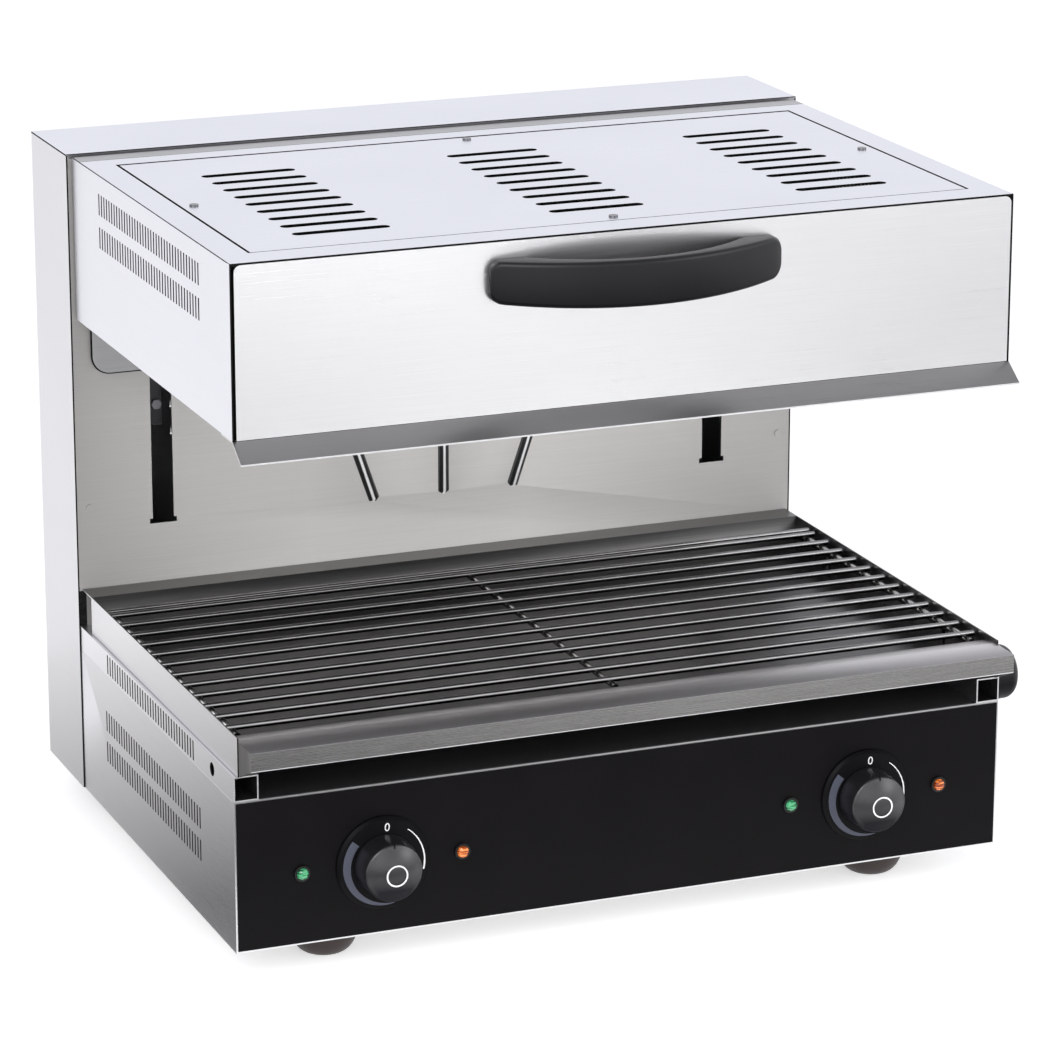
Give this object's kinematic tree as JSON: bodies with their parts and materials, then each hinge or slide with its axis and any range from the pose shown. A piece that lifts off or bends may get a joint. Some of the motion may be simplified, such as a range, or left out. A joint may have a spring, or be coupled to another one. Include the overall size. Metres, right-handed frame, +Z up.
{
  "type": "cheese melter",
  "caption": "Countertop electric cheese melter: a slotted, vented heating head that rises on a rear column over a wire rack in a sliding drip tray, with knobs on a dark front panel.",
  "frame": {"origin": "centre of the bounding box, at the undersides of the feet", "axes": "+X to the right as seen from the front, +Y from the front to the rear, +Z up"},
  "size_m": [0.633, 0.523, 0.5255],
  "materials": {
    "steel": "fine brushed stainless steel",
    "plate_steel": "fine brushed stainless steel, slightly duller",
    "tray_steel": "bright stainless steel",
    "frame_steel": "plain cold-rolled steel",
    "zinc": "zinc plated",
    "chrome_wire": "bright plated wire",
    "polished_rod": "ground and polished",
    "strut_paint": "satin black paint",
    "bush": "plain bearing bronze",
    "heater_sheath": "heat-dulled sheath",
    "handle_plastic": "satin black moulding",
    "knob_plastic": "satin black moulding",
    "dial_print": "satin black disc with a printed scale",
    "fascia_black": "smooth near-black overlay",
    "spindle_metal": "turned",
    "control_case": "moulded case",
    "lens_green": "clear faceted lens",
    "lens_amber": "clear faceted lens",
    "ring_black": "moulded ring",
    "foot_rubber": "moulded rubber",
    "gland_plastic": "moulded gland",
    "terminal_plastic": "moulded block"
  },
  "bodies": {
    "housing": {"back_plate": "plate_steel", "base_bottom": "steel", "base_deck": "steel", "base_side_left": "steel", "base_side_right": "steel", "cable_gland": "gland_plastic", "casing_screws": "zinc", "column_rear_cover": "steel", "column_side_left": "steel", "column_side_right": "steel", "column_top_cap": "steel", "dial_left": "dial_print", "dial_right": "dial_print", "foot_front_left": "foot_rubber", "foot_front_right": "foot_rubber", "foot_rear_left": "foot_rubber", "foot_rear_right": "foot_rubber", "front_panel": "steel", "guide_rod_left": "polished_rod", "guide_rod_right": "polished_rod", "lower_crossmember": "frame_steel", "panel_fascia": "fascia_black", "pilot_amber_left": "lens_amber", "pilot_amber_right": "lens_amber", "pilot_green_left": "lens_green", "pilot_green_right": "lens_green", "pilot_rings": "ring_black", "rail_left": "steel", "rail_right": "steel", "side_bumper": "handle_plastic", "stop_collars": "zinc", "strut_tube_left": "strut_paint", "strut_tube_right": "strut_paint", "terminal_block": "terminal_plastic", "thermostat_left": "control_case", "thermostat_right": "control_case", "upper_crossmember": "frame_steel"},
    "head": {"head_shell": "steel", "head_front_panel": "steel", "head_lid": "steel", "head_screws": "zinc", "visor_strip": "steel", "rear_shield": "steel", "front_handle": "handle_plastic", "reflector": "steel", "heater_left": "heater_sheath", "heater_right": "heater_sheath", "heater_brackets": "frame_steel", "carriage_left": "frame_steel", "carriage_right": "frame_steel", "guide_bushes": "bush", "carriage_bolts": "zinc", "lift_crossbar": "frame_steel", "strut_rods": "polished_rod"},
    "tray": {"drip_tray": "tray_steel"},
    "rack": {"wire_rack": "chrome_wire"},
    "left_control": {"knob_left": "knob_plastic", "spindle_left": "spindle_metal"},
    "right_control": {"knob_right": "knob_plastic", "spindle_right": "spindle_metal"}
  },
  "joints": [
    {"name": "head_lift", "type": "slide", "parent": "housing", "child": "head", "axis": [0, 0, 1], "range_m": [-0.15, 0]},
    {"name": "tray_slide", "type": "slide", "parent": "housing", "child": "tray", "axis": [0, -1, 0], "range_m": [0, 0.32]},
    {"name": "rack_lift", "type": "slide", "parent": "tray", "child": "rack", "axis": [0, 0, 1], "range_m": [0, 0.04]},
    {"name": "left_knob_turn", "type": "hinge", "parent": "housing", "child": "left_control", "pos_m": [-0.206, -0.2183, 0.07901], "axis": [0, 1, 0], "range_deg": [0, 300]},
    {"name": "right_knob_turn", "type": "hinge", "parent": "housing", "child": "right_control", "pos_m": [0.173, -0.2183, 0.07901], "axis": [0, 1, 0], "range_deg": [0, 300]}
  ]
}
